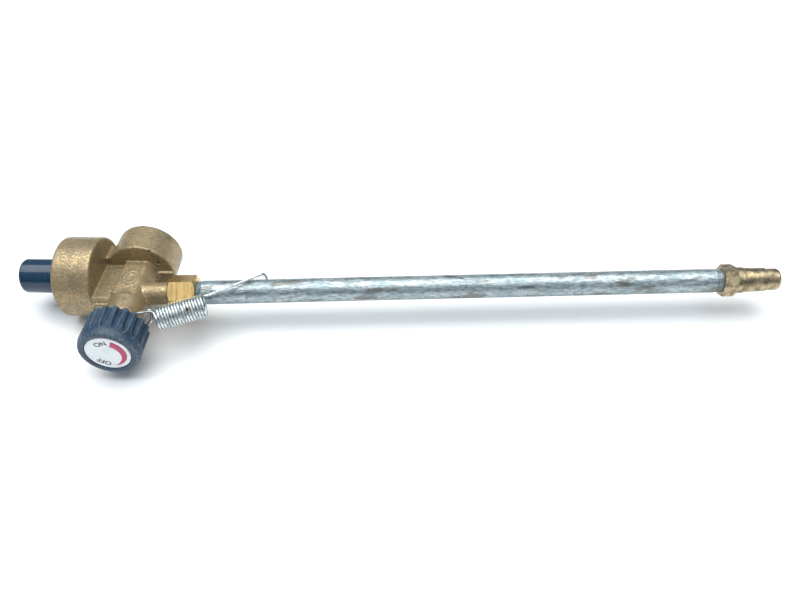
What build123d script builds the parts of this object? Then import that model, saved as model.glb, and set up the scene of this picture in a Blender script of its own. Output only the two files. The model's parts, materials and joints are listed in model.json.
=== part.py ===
"""Hand-held propane torch: regulator and valve head, steel burner tube, nozzle and tie spring.

Frame: the origin is the centre of the cylinder socket's mouth. +Y points out of the socket, towards
the gas cylinder. +X runs along the burner tube towards the nozzle, and +Z is up with the torch lying
on its side. All sizes are in millimetres.
"""
from build123d import *
from math import atan2, cos, degrees, radians, sin, sqrt
import os

os.makedirs("parts", exist_ok=True)

# ---- driving dimensions -------------------------------------------------------------------------
CROSS_Y = -18.0          # the regulator axis crosses the socket and knob axis here
TUBE_OFFSET = 10.93      # from the regulator axis to the burner tube's axis, on the knob side
TUBE_TILT = 3.08         # degrees that the burner tube leans towards the cylinder side
FIT = 0.05               # radial gap of running fits and of plain stand-ins for screwed joints

# valve body, distances measured from the crossing of the two axes
BOWL_R = 17.35           # regulator bowl, outside
BOWL_INNER = 14.75       # its face on the hub side
BOWL_OUTER = 30.9        # its mouth
BOWL_DROP = 0.35         # the regulator's axis lies this far to the knob's side of the crossing
SOCKET_R = 14.13         # cylinder socket, outside
SOCKET_BACK = 3.2        # its face on the knob side
SOCKET_MOUTH = 18.0      # its mouth, at the frame's origin
SOCKET_FLOOR = 6.0
SOCKET_RELIEF_R = 12.0   # plain bore between the floor and the thread
SOCKET_THREAD_START = 10.4
SOCKET_THREAD_R = 12.7   # one inch thread, as on a disposable one pound cylinder
PROBE_R = 3.0            # inlet probe, screwed into the socket's floor
PROBE_BACK = 3.4
WEEP_HOLE_R = 0.7
HUB_R = 7.3
HUB_FLAT = 6.3           # half the hub's thickness across its flat faces
HUB_LEFT = 5.6           # the hub's square shoulder towards the bowl
HUB_END = 16.4
WEB_HALF = 3.5           # half the thickness of the web between hub and bowl
WEB_END = 17.2
LEDGE_END = 18.4         # thin ledge in front of the web
GUSSET_HALF = 6.8        # half the thickness of the gusset between bowl and socket
GUSSET_START = 4.4
GUSSET_END = 12.6
BOSS_R = 7.7             # stem boss
BOSS_START = 16.8
BOSS_END = 27.2
NECK_R = 4.9             # outlet neck
NECK_END = 16.3
CAST_ROUND = 0.7         # edge rounding of the casting

# regulator, distances along -X from the crossing
DIAPHRAGM_BED = 21.6
DIAPHRAGM_T = 1.0
DIAPHRAGM_R = 14.6
BOWL_THREAD_R = 15.0
CHAMBER_R = 12.0
CHAMBER_FLOOR = 19.0
TOWER_R = 7.5            # bonnet tower
TOWER_END = 50.3
TOWER_BORE = 5.7
BREATHER_R = 0.7
COLLAR_R = 8.3
COLLAR_END = 33.4

# knob, distances along -Y from the crossing
KNOB_R = 12.35
KNOB_FACE_R = 11.45
KNOB_BACK = 29.0
KNOB_FACE = 44.4
FLUTES = 18
FLUTE_R = 1.35
FLUTE_LENGTH = 12.4
FLUTE_TAPER = 2.6        # degrees
LABEL_R = 8.93
STEM_R = 2.4
NECK_RING_R = 3.6        # gland neck that carries the spring's eye
NECK_RING_END = 29.1
EYE_AT = 28.1
PACKING_START = 24.5
PACKING_END = 26.25
VALVE_SEAT = 13.6

# outlet line, distances along the tube's axis
HEX_START = 16.6
HEX_END = 28.2
HEX_FLATS = 13.5
HEX_TURN = 21.0          # degrees of the lower front corner above the horizontal
TUBE_R = 5.145           # eighth inch steel pipe, 10.29 mm outside
TUBE_BORE = 3.415
TUBE_START = 21.4
TUBE_END = 257.3
THREAD_PITCH = 0.94
THREAD_DEPTH = 0.42
THREAD_CREST = TUBE_R - 0.1
THREAD_RUN_IN = 0.4      # plain end before the first ridge
THREAD_TURNS = 9         # on the valve end of the tube
NOZZLE_TURNS = 7         # on its nozzle end
NOZZLE_START = 252.7
NOZZLE_FLATS = 12.2
NOZZLE_HEX_END = 258.9
NOZZLE_COLLAR_END = 262.4
NOZZLE_COLLAR_R = 5.6
NOZZLE_STEP = 272.0
NOZZLE_TIP_R = 4.7       # last step, which carries a burner head
NOZZLE_END = 277.6
NOZZLE_BORE = 2.9
JET_R = 3.3
JET_BORE = 0.3

# tie spring
WIRE_R = 0.62
COIL_R = 4.48            # mean radius of the turns
LEG_GAP = 0.3            # from the coil's plain tube to the ends of its two legs
COIL_LOW = (15.4, CROSS_Y - 27.9, 2.8)
COIL_HIGH = (34.8, CROSS_Y - 19.6, 3.1)
RIM = (0.0, 0.08, 0.997)           # direction from the coil's axis to both straight legs
HOOK_TOP = (56.6, CROSS_Y - 3.2, 6.3)
HOOK_TIP = (56.9, CROSS_Y - 0.5, -3.2)
HOOK_BEND = 2.0

UP = (0, 0, 1)
CROSSING = (0, CROSS_Y, 0)

# Section planes: local x runs along the axis, local y is the radius, both in the plane z = 0.
socket_line = Plane(origin=CROSSING, x_dir=(0, 1, 0), z_dir=UP)
knob_line = Plane(origin=CROSSING, x_dir=(0, -1, 0), z_dir=UP)
bowl_line = Plane(origin=(0, CROSS_Y - BOWL_DROP, 0), x_dir=(-1, 0, 0), z_dir=UP)
tube_dir = (cos(radians(TUBE_TILT)), sin(radians(TUBE_TILT)), 0)
tube_line = Plane(origin=(0, CROSS_Y - TUBE_OFFSET, 0), x_dir=tube_dir, z_dir=UP)


def across(line, distance):
    """Plane square to a section plane's axis, at a distance along it, facing along the axis."""
    direction = line.x_dir
    return Plane(origin=line.origin + direction * distance, x_dir=UP, z_dir=direction)


def turn(line, outline, mode=Mode.ADD):
    """Revolve a closed outline of (along, radius) points about a section plane's axis."""
    with BuildSketch(line) as profile:
        with BuildLine():
            Polyline(*outline, close=True)
        make_face()
    revolve(profile.sketch, axis=Axis(line.origin, line.x_dir), mode=mode)


def disc(line, start, end, radius, mode=Mode.ADD):
    """Solid cylinder about a section plane's axis."""
    with BuildSketch(across(line, start)) as round_face:
        Circle(radius)
    extrude(round_face.sketch, amount=end - start, mode=mode)


def ring(line, start, end, inner, outer, mode=Mode.ADD):
    """Plain ring about a section plane's axis."""
    with BuildSketch(across(line, start)) as annulus:
        Circle(outer)
        Circle(inner, mode=Mode.SUBTRACT)
    extrude(annulus.sketch, amount=end - start, mode=mode)


def hexagon(line, start, end, flats, turned, mode=Mode.ADD):
    """Hexagonal bar about a section plane's axis, one corner turned from +Z towards -Y."""
    with BuildSketch(across(line, start)) as six:
        RegularPolygon(flats / 2, 6, major_radius=False, rotation=turned)
    extrude(six.sketch, amount=end - start, mode=mode)


def slab(x_range, y_range, half_height, mode=Mode.ADD):
    """Plate centred on z = 0, its y range measured from the crossing."""
    width = x_range[1] - x_range[0]
    depth = y_range[1] - y_range[0]
    centre = ((x_range[0] + x_range[1]) / 2, CROSS_Y + (y_range[0] + y_range[1]) / 2, 0)
    with Locations(centre):
        Box(width, depth, 2 * half_height, mode=mode)


def thread_outline(start, crest, turns, inwards):
    """Zigzag (along, radius) line of a thread's ridges, starting at one end of a tube."""
    points = [(start, crest)]
    for index in range(turns):
        at = THREAD_RUN_IN + index * THREAD_PITCH
        points += [(start + inwards * at, crest)]
        points += [(start + inwards * (at + THREAD_PITCH / 2), crest - THREAD_DEPTH)]
    run_out = THREAD_RUN_IN + turns * THREAD_PITCH
    points.append((start + inwards * run_out, crest))
    points.append((start + inwards * (run_out + 0.2), TUBE_R))
    return points


def save(part, name):
    """Label a finished piece and write it as one STEP file."""
    part.label = name
    export_step(part, f"parts/{name}.step")


# ---- valve body ---------------------------------------------------------------------------------
with BuildPart() as valve_body:
    # regulator bowl and cylinder socket
    disc(bowl_line, BOWL_INNER, BOWL_OUTER, BOWL_R)
    bowl_rims = valve_body.edges().filter_by(GeomType.CIRCLE)
    fillet(bowl_rims, CAST_ROUND)
    disc(socket_line, SOCKET_BACK, SOCKET_MOUTH, SOCKET_R)
    # hub with two flat faces and a square shoulder
    hub_length = HUB_END + 1.0 + SOCKET_BACK + 0.5
    with BuildSketch(across(knob_line, -SOCKET_BACK - 0.5)):
        Circle(HUB_R)
        Rectangle(2 * HUB_FLAT, 2 * HUB_R, mode=Mode.INTERSECT)
    extrude(amount=hub_length)
    slab((-HUB_LEFT, 0), (-HUB_END, SOCKET_BACK + 0.5), HUB_FLAT)
    # web and front ledge towards the bowl
    slab((-BOWL_INNER - 0.5, 0), (-WEB_END, SOCKET_BACK + 0.5), WEB_HALF)
    slab((-BOWL_INNER + 0.4, -HUB_LEFT), (-LEDGE_END, -WEB_END + 1), 0.8)
    # gusset between the bowl and the socket
    slab((-BOWL_INNER - 0.5, -8), (GUSSET_START, GUSSET_END), GUSSET_HALF)
    # flash ledge on the socket's back face
    slab((HUB_R - 0.8, SOCKET_R - 0.3), (SOCKET_BACK - 1.3, SOCKET_BACK + 0.5), 0.4)
    # stem boss, with a rounded shoulder
    turn(knob_line, [(BOSS_START - 4, 0), (BOSS_START - 4, HUB_FLAT - 0.6), (BOSS_START, BOSS_R - 0.7),
                     (BOSS_START + 0.7, BOSS_R), (BOSS_END - 0.8, BOSS_R), (BOSS_END, BOSS_R - 0.8),
                     (BOSS_END, 0)])
    # outlet neck
    turn(tube_line, [(0, 0), (0, NECK_R), (NECK_END - 0.4, NECK_R), (NECK_END, NECK_R - 0.4),
                     (NECK_END, 0)])
    # emblem pad: two concentric ovals raised on the hub's flat face
    with BuildSketch(Plane(origin=(0, CROSS_Y - 7.4, HUB_FLAT))):
        Ellipse(3.4, 4.7)
        Ellipse(2.95, 4.25, mode=Mode.SUBTRACT)
        Ellipse(1.9, 3.0)
        Ellipse(1.45, 2.55, mode=Mode.SUBTRACT)
    extrude(amount=0.25)
    # cylinder socket: relief, threaded bore and probe hole
    disc(socket_line, SOCKET_FLOOR, SOCKET_THREAD_START, SOCKET_RELIEF_R, mode=Mode.SUBTRACT)
    disc(socket_line, SOCKET_THREAD_START, SOCKET_MOUTH + 1, SOCKET_THREAD_R, mode=Mode.SUBTRACT)
    disc(socket_line, PROBE_BACK, SOCKET_FLOOR + 1, PROBE_R + FIT, mode=Mode.SUBTRACT)
    disc(socket_line, 1.0, SOCKET_FLOOR, 1.3, mode=Mode.SUBTRACT)
    # weep hole through the socket's back face
    with BuildSketch(Plane(origin=(8.6, CROSS_Y + SOCKET_BACK - 1, 5.1), z_dir=(0, 1, 0))):
        Circle(WEEP_HOLE_R)
    extrude(amount=4.5, mode=Mode.SUBTRACT)
    # regulator bowl: bonnet thread, diaphragm bed, low pressure chamber, seat and poppet bores
    disc(bowl_line, DIAPHRAGM_BED, BOWL_OUTER + 1, BOWL_THREAD_R, mode=Mode.SUBTRACT)
    disc(bowl_line, CHAMBER_FLOOR, DIAPHRAGM_BED + 1, CHAMBER_R, mode=Mode.SUBTRACT)
    disc(bowl_line, 15.0, CHAMBER_FLOOR + 1, 3.5 + FIT, mode=Mode.SUBTRACT)
    disc(bowl_line, 0.5, 15.5, 2.5, mode=Mode.SUBTRACT)
    # slanting way from the chamber to the valve
    feed_from = Vector(-CHAMBER_FLOOR - 0.5, CROSS_Y - 8.5, 0)
    feed_to = Vector(0, CROSS_Y - 15.2, 0)
    with BuildSketch(Plane(origin=feed_from, z_dir=feed_to - feed_from)):
        Circle(1.0)
    extrude(amount=(feed_to - feed_from).length, mode=Mode.SUBTRACT)
    # valve bores: orifice, keyed plunger bore, collar space and gland thread
    disc(knob_line, TUBE_OFFSET, VALVE_SEAT + 0.5, 1.0, mode=Mode.SUBTRACT)
    with BuildSketch(across(knob_line, VALVE_SEAT)):
        Circle(3.6)
        Rectangle(5.6, 7.2, mode=Mode.INTERSECT)
    extrude(amount=7.0, mode=Mode.SUBTRACT)
    disc(knob_line, 20.0, 23.0, 3.6, mode=Mode.SUBTRACT)
    disc(knob_line, 23.0, BOSS_END, 4.2, mode=Mode.SUBTRACT)
    disc(knob_line, PACKING_START - 0.1, BOSS_END + 1, 5.2, mode=Mode.SUBTRACT)
    # outlet bore and thread
    disc(tube_line, 0, NECK_END, 1.6, mode=Mode.SUBTRACT)
    disc(tube_line, 7.0, NECK_END + 1, 3.5, mode=Mode.SUBTRACT)
save(valve_body.part, "valve_body")

# ---- cylinder socket fittings -------------------------------------------------------------------
with BuildPart() as inlet_probe:
    turn(socket_line, [(PROBE_BACK, 1.4), (PROBE_BACK, PROBE_R), (7.6, PROBE_R), (7.6, 2.6), (8.2, 2.6),
                       (8.2, 2.2), (9.2, 1.8), (9.2, 1.05), (6.4, 1.05), (6.4, 1.4)])
save(inlet_probe.part, "inlet_probe")

with BuildPart() as depressor_pin:
    turn(socket_line, [(4.9, 0), (4.9, 1.3), (5.5, 1.3), (5.5, 0.55), (9.7, 0.55), (10.0, 0.25), (10.0, 0)])
save(depressor_pin.part, "depressor_pin")

with BuildPart() as inlet_filter:
    disc(socket_line, 3.5, 4.8, 1.35)
save(inlet_filter.part, "inlet_filter")

with BuildPart() as inlet_seal:
    ring(socket_line, SOCKET_FLOOR + 0.02, SOCKET_FLOOR + 1.5, 3.05, 6.4)
save(inlet_seal.part, "inlet_seal")

# ---- regulator ----------------------------------------------------------------------------------
bonnet_seat = DIAPHRAGM_BED + DIAPHRAGM_T + 0.85
with BuildPart() as regulator_bonnet:
    turn(bowl_line, [(bonnet_seat, 12.4), (bonnet_seat, BOWL_THREAD_R - FIT),
                     (30.4, BOWL_THREAD_R - FIT), (30.4, COLLAR_R), (COLLAR_END - 0.4, COLLAR_R),
                     (COLLAR_END, COLLAR_R - 0.4), (COLLAR_END, TOWER_R), (TOWER_END - 1.1, TOWER_R),
                     (TOWER_END - 0.35, TOWER_R - 0.3), (TOWER_END, TOWER_R - 1.1), (TOWER_END, 4.2),
                     (46.6, 4.2), (46.6, TOWER_BORE), (28.0, TOWER_BORE), (28.0, 12.4)])
    # breather hole in the bonnet's flat face
    with BuildSketch(Plane(origin=(-27.0, CROSS_Y, 10.6), z_dir=(-1, 0, 0))):
        Circle(BREATHER_R)
    extrude(amount=5.0, mode=Mode.SUBTRACT)
save(regulator_bonnet.part, "regulator_bonnet")

with BuildPart() as adjusting_screw:
    turn(bowl_line, [(41.6, 0), (41.6, 1.8), (42.6, 1.8), (42.6, 4.1), (48.9, 4.1), (48.9, 0)])
    hexagon(bowl_line, 45.4, 49.5, 4.0, 0, mode=Mode.SUBTRACT)
save(adjusting_screw.part, "adjusting_screw")

with BuildPart() as spring_button:
    turn(bowl_line, [(42.55, 1.9), (42.55, 3.9), (41.4, 5.3), (40.6, 5.3), (40.6, 3.0), (39.6, 3.0),
                     (39.6, 0), (41.5, 0), (41.5, 1.9)])
save(spring_button.part, "spring_button")

with BuildPart() as regulator_spring:
    ring(bowl_line, 24.65, 40.55, 3.6, 5.2)
save(regulator_spring.part, "regulator_spring")

with BuildPart() as slip_ring:
    ring(bowl_line, DIAPHRAGM_BED + DIAPHRAGM_T + 0.03, bonnet_seat - 0.03, 12.3, BOWL_THREAD_R - FIT)
save(slip_ring.part, "slip_ring")

with BuildPart() as diaphragm:
    ring(bowl_line, DIAPHRAGM_BED + 0.02, DIAPHRAGM_BED + DIAPHRAGM_T, 1.55, DIAPHRAGM_R)
save(diaphragm.part, "diaphragm")

with BuildPart() as diaphragm_plate:
    turn(bowl_line, [(22.62, 0), (22.62, 10.2), (23.4, 10.2), (23.4, 5.9), (24.6, 5.9), (24.6, 5.3),
                     (23.6, 5.3), (23.6, 3.3), (25.6, 3.3), (25.6, 0)])
save(diaphragm_plate.part, "diaphragm_plate")

with BuildPart() as push_pin:
    turn(bowl_line, [(14.1, 0), (14.1, 0.6), (20.6, 0.6), (20.6, 3.2), (21.55, 3.2), (21.55, 1.5),
                     (22.6, 1.5), (22.6, 0)])
save(push_pin.part, "push_pin")

with BuildPart() as regulator_seat:
    turn(bowl_line, [(15.05, 1.0), (15.05, 3.5), (18.6, 3.5), (18.6, 3.0), (19.6, 3.0), (19.6, 1.0)])
save(regulator_seat.part, "regulator_seat")

with BuildPart() as poppet:
    turn(bowl_line, [(7.6, 0), (7.6, 1.0), (11.6, 1.0), (11.6, 2.1), (13.0, 2.1), (13.0, 0)])
save(poppet.part, "poppet")

with BuildPart() as poppet_disc:
    turn(bowl_line, [(13.02, 0), (13.02, 2.1), (14.05, 2.1), (14.05, 0)])
save(poppet_disc.part, "poppet_disc")

with BuildPart() as poppet_spring:
    ring(bowl_line, 0.6, 11.5, 1.3, 2.2)
save(poppet_spring.part, "poppet_spring")

# ---- control valve ------------------------------------------------------------------------------
with BuildPart() as valve_plunger:
    with BuildSketch(across(knob_line, 15.9)):
        Circle(3.55)
        Rectangle(5.5, 7.1, mode=Mode.INTERSECT)
    extrude(amount=3.0)
    disc(knob_line, 14.25, 16.0, 1.9)
    disc(knob_line, 15.2, 19.0, 1.3 + FIT, mode=Mode.SUBTRACT)
save(valve_plunger.part, "valve_plunger")

with BuildPart() as plunger_disc:
    disc(knob_line, VALVE_SEAT + 0.02, 14.23, 1.85)
save(plunger_disc.part, "plunger_disc")

with BuildPart() as gland_nut:
    turn(knob_line, [(PACKING_START - 0.05, 3.7), (PACKING_START - 0.05, 5.15), (BOSS_END, 5.15),
                     (BOSS_END + 0.01, NECK_RING_R), (NECK_RING_END, NECK_RING_R),
                     (NECK_RING_END, STEM_R + FIT), (PACKING_END + 0.05, STEM_R + FIT),
                     (PACKING_END + 0.05, 3.7)])
    hexagon(knob_line, NECK_RING_END, 31.15, 10.0, 0)
    disc(knob_line, PACKING_END, 31.2, STEM_R + FIT, mode=Mode.SUBTRACT)
save(gland_nut.part, "gland_nut")

with BuildPart() as stem_packing:
    ring(knob_line, PACKING_START, PACKING_END, STEM_R + 0.02, 3.65)
save(stem_packing.part, "stem_packing")

with BuildPart() as valve_stem:
    turn(knob_line, [(16.2, 0), (16.2, 1.1), (16.5, 1.3), (20.1, 1.3), (20.1, STEM_R), (23.1, STEM_R),
                     (23.1, 3.6), (24.3, 3.6), (24.3, STEM_R), (31.2, STEM_R), (31.2, 2.1), (37.6, 2.1),
                     (37.6, 1.2), (33.6, 1.2), (33.6, 0)])
save(valve_stem.part, "valve_stem")

# ---- knob ---------------------------------------------------------------------------------------
with BuildPart() as knob:
    turn(knob_line, [(KNOB_BACK, 9.2), (KNOB_BACK, KNOB_R - 0.8), (KNOB_BACK + 0.8, KNOB_R),
                     (KNOB_FACE - 3.4, KNOB_R), (KNOB_FACE - 2.2, KNOB_R - 0.15),
                     (KNOB_FACE - 0.9, KNOB_R - 0.5), (KNOB_FACE - 0.3, KNOB_FACE_R + 0.1),
                     (KNOB_FACE, KNOB_FACE_R - 0.2), (KNOB_FACE, LABEL_R + 0.55),
                     (KNOB_FACE - 0.85, LABEL_R + 0.35), (KNOB_FACE - 0.85, 3.2), (38.4, 3.2), (38.4, 1.7),
                     (37.7, 1.7), (37.7, 2.12), (31.25, 2.12), (31.25, 9.2)])
    # grip flutes, open at the back and fading out before the smooth front band
    with BuildSketch(across(knob_line, KNOB_BACK - 1)):
        with PolarLocations(KNOB_R + 0.5, FLUTES):
            Circle(FLUTE_R)
    extrude(amount=FLUTE_LENGTH + 1, taper=FLUTE_TAPER, mode=Mode.SUBTRACT)
save(knob.part, "knob")

with BuildPart() as knob_screw:
    turn(knob_line, [(34.0, 0), (34.0, 1.15), (38.45, 1.15), (38.45, 2.8), (40.0, 2.8), (40.4, 2.3),
                     (40.4, 0)])
    with BuildSketch(across(knob_line, 39.4)):
        Rectangle(3.2, 0.6)
        Rectangle(0.6, 3.2)
    extrude(amount=1.5, mode=Mode.SUBTRACT)
save(knob_screw.part, "knob_screw")

with BuildPart() as knob_label:
    disc(knob_line, KNOB_FACE - 0.83, KNOB_FACE - 0.45, LABEL_R)
save(knob_label.part, "knob_label")

# ---- outlet adapter, tube and nozzle ------------------------------------------------------------
def hex_chamfer(line, start, end, corner_r, flat_r, outer_side):
    """Trim a hexagon's corners with a cone at one end, so that its faces get arched edges."""
    rise = (corner_r - flat_r) * 1.1
    if outer_side:
        outline = [(end + 0.1, flat_r - 0.3), (end - rise, corner_r + 0.2), (end + 0.1, corner_r + 3)]
    else:
        outline = [(start - 0.1, flat_r - 0.3), (start + rise, corner_r + 0.2), (start - 0.1, corner_r + 3)]
    turn(line, outline, mode=Mode.SUBTRACT)


with BuildPart() as outlet_hex:
    hexagon(tube_line, HEX_START, HEX_END, HEX_FLATS, 90 - HEX_TURN)
    hex_corner = HEX_FLATS / sqrt(3)
    hex_chamfer(tube_line, HEX_START, HEX_END, hex_corner, HEX_FLATS / 2, True)
    hex_chamfer(tube_line, HEX_START, HEX_END, hex_corner, HEX_FLATS / 2, False)
    disc(tube_line, 8.0, HEX_START, 3.5 - FIT)
    disc(tube_line, 7.0, HEX_END + 1, 2.2, mode=Mode.SUBTRACT)
    disc(tube_line, TUBE_START - 0.8, HEX_END + 1, THREAD_CREST + FIT, mode=Mode.SUBTRACT)
save(outlet_hex.part, "outlet_hex")

with BuildPart() as burner_tube:
    valve_thread = thread_outline(TUBE_START, THREAD_CREST, THREAD_TURNS, 1)
    nozzle_thread = thread_outline(TUBE_END, THREAD_CREST, NOZZLE_TURNS, -1)
    bore = [(TUBE_END, TUBE_BORE), (TUBE_START, TUBE_BORE)]
    turn(tube_line, valve_thread + nozzle_thread[::-1] + bore)
save(burner_tube.part, "burner_tube")

with BuildPart() as gas_jet:
    turn(tube_line, [(257.6, 0.9), (257.6, JET_R), (261.4, JET_R), (261.4, 2.4), (264.6, 1.6),
                     (264.6, JET_BORE), (263.4, JET_BORE), (262.6, 0.9)])
save(gas_jet.part, "gas_jet")

with BuildPart() as burner_nozzle:
    hexagon(tube_line, NOZZLE_START, NOZZLE_HEX_END, NOZZLE_FLATS, 90 - HEX_TURN)
    nozzle_corner = NOZZLE_FLATS / sqrt(3)
    hex_chamfer(tube_line, NOZZLE_START, NOZZLE_HEX_END, nozzle_corner, NOZZLE_FLATS / 2, True)
    hex_chamfer(tube_line, NOZZLE_START, NOZZLE_HEX_END, nozzle_corner, NOZZLE_FLATS / 2, False)
    turn(tube_line, [(NOZZLE_START + 1, 0), (NOZZLE_START + 1, NOZZLE_COLLAR_R),
                     (NOZZLE_COLLAR_END - 0.3, NOZZLE_COLLAR_R), (NOZZLE_COLLAR_END, 5.25),
                     (NOZZLE_STEP - 0.3, 5.12), (NOZZLE_STEP, NOZZLE_TIP_R),
                     (NOZZLE_END - 0.9, NOZZLE_TIP_R), (NOZZLE_END - 0.25, NOZZLE_TIP_R - 0.3),
                     (NOZZLE_END, NOZZLE_TIP_R - 0.9), (NOZZLE_END, 0)])
    disc(tube_line, NOZZLE_START - 1, TUBE_END + 0.2, THREAD_CREST + FIT, mode=Mode.SUBTRACT)
    disc(tube_line, TUBE_END, 261.5, JET_R + FIT, mode=Mode.SUBTRACT)
    disc(tube_line, 261.0, NOZZLE_END + 1, NOZZLE_BORE, mode=Mode.SUBTRACT)
    turn(tube_line, [(NOZZLE_END - 0.6, 0), (NOZZLE_END - 0.6, NOZZLE_BORE),
                     (NOZZLE_END, NOZZLE_BORE + 0.4), (NOZZLE_END + 1, NOZZLE_BORE + 0.4),
                     (NOZZLE_END + 1, 0)], mode=Mode.SUBTRACT)
save(burner_nozzle.part, "burner_nozzle")

# ---- tie spring ---------------------------------------------------------------------------------
coil_low = Vector(*COIL_LOW)
coil_high = Vector(*COIL_HIGH)
coil_dir = (coil_high - coil_low).normalized()
rim_across = Vector(*RIM) - coil_dir * Vector(*RIM).dot(coil_dir)
rim = rim_across.normalized() * COIL_R
leg_low = coil_low + rim - coil_dir * LEG_GAP
leg_high = coil_high + rim + coil_dir * LEG_GAP

with BuildPart() as spring_coil:
    with BuildSketch(Plane(origin=coil_low, z_dir=coil_dir)):
        Circle(COIL_R + WIRE_R)
        Circle(COIL_R - WIRE_R, mode=Mode.SUBTRACT)
    extrude(amount=(coil_high - coil_low).length)
save(spring_coil.part, "spring_coil")

# eye round the gland's neck, with a leg that leaves it at a tangent
eye_r = NECK_RING_R + 0.08 + WIRE_R
leg_reach = sqrt(leg_low.X ** 2 + leg_low.Z ** 2)
tangent = degrees(atan2(leg_low.Z, leg_low.X)) + degrees(atan2(sqrt(leg_reach ** 2 - eye_r ** 2), eye_r))
eye_centre = Vector(0, CROSS_Y - EYE_AT, 0)
leave_at = eye_centre + Vector(cos(radians(tangent)), 0, sin(radians(tangent))) * eye_r
with BuildPart() as spring_eye:
    with BuildSketch(Plane(origin=leave_at, z_dir=leg_low - leave_at)):
        Circle(WIRE_R)
    extrude(amount=(leg_low - leave_at).length)
    with BuildSketch(Plane(origin=eye_centre, x_dir=(1, 0, 0), z_dir=UP)):
        with Locations((eye_r, 0)):
            Circle(WIRE_R)
    revolve(axis=Axis(eye_centre, (0, 1, 0)))
save(spring_eye.part, "spring_eye")

# straight leg over the tube, ending in a hook behind it
hook_top = Vector(*HOOK_TOP)
hook_tip = Vector(*HOOK_TIP)
with BuildPart() as spring_hook:
    with BuildLine() as hook_path:
        FilletPolyline(leg_high, hook_top, hook_tip, radius=HOOK_BEND)
    with BuildSketch(Plane(origin=leg_high, z_dir=hook_top - leg_high)):
        Circle(WIRE_R)
    sweep(path=hook_path.wires()[0])
save(spring_hook.part, "spring_hook")
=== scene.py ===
"""Propane torch: the visual model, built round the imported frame.

The valve casting, the socket's thread, the knob, the label's print and the tie spring's wire are modelled
here. Every other piece is the frame's own node, dressed in its finish. Lengths are in metres, in the
frame's axes: +Y points out of the cylinder socket, +X along the burner tube and +Z up.
"""
import json
import logging
from collections.abc import Callable
from dataclasses import dataclass, field
from enum import Enum
from math import acos, atan2, cos, pi, radians, sin, sqrt, tau

import bmesh
import bpy
from mathutils import Matrix, Vector


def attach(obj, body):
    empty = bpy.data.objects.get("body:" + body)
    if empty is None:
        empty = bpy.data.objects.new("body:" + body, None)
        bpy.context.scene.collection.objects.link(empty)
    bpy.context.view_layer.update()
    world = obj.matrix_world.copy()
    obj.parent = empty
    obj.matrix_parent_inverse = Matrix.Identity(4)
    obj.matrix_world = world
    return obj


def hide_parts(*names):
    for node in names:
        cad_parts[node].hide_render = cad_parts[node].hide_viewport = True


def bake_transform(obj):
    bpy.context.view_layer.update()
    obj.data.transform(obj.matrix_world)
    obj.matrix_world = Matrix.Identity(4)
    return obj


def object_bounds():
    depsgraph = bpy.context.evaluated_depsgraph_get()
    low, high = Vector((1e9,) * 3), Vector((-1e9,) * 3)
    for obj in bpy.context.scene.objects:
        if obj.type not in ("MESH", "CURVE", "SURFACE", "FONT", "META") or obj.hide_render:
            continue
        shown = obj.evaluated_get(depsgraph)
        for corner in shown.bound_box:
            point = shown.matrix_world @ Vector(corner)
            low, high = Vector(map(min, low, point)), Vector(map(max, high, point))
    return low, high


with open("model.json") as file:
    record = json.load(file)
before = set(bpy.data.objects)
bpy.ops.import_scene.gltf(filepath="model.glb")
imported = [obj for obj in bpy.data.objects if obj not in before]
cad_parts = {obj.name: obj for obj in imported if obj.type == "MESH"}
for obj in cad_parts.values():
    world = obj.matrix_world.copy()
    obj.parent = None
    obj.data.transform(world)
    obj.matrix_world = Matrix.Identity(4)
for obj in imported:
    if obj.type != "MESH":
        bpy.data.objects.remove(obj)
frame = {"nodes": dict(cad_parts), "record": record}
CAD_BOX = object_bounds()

LOG = logging.getLogger("torch")
MM = 0.001
CROSS_Y = -18.0 * MM          # the regulator axis crosses the socket and knob axis here
TUBE_TILT = radians(3.08)     # the burner tube leans this much towards the cylinder side


class Body(Enum):
    """The moving bodies that new pieces ride on."""

    TORCH = "torch"
    KNOB = "knob"
    TIE_SPRING = "tie_spring"
    SPRING_LEG = "spring_leg"


class Slot(Enum):
    """The record's material slots."""

    CAST_BRASS = "cast_brass"
    BRASS_MACHINED = "brass_machined"
    NOZZLE_BRASS = "nozzle_brass"
    SINTERED_BRONZE = "sintered_bronze"
    SPRING_STEEL = "spring_steel"
    PLATED_STEEL = "plated_steel"
    GALVANISED_STEEL = "galvanised_steel"
    SPRING_WIRE = "spring_wire"
    RUBBER = "rubber_black"
    BONNET_PLASTIC = "bonnet_plastic"
    KNOB_PLASTIC = "knob_plastic"
    LABEL_SHEET = "label_sheet"


# ---- shading helpers ----------------------------------------------------------------------------
def linear(code: str) -> tuple[float, float, float, float]:
    """Turn an sRGB hex colour into a linear one.

    Args:
        code: Six hex digits, with or without a leading #.

    Returns:
        Red, green, blue and an alpha of 1.
    """
    digits = code.lstrip("#")
    parts = [int(digits[index:index + 2], 16) / 255 for index in (0, 2, 4)]
    red, green, blue = (c / 12.92 if c <= 0.04045 else ((c + 0.055) / 1.055) ** 2.4 for c in parts)
    return red, green, blue, 1.0


def per_mm(size: float) -> float:
    """Texture scale, per metre, whose features are about size millimetres across."""
    return 1000.0 / size


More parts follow.
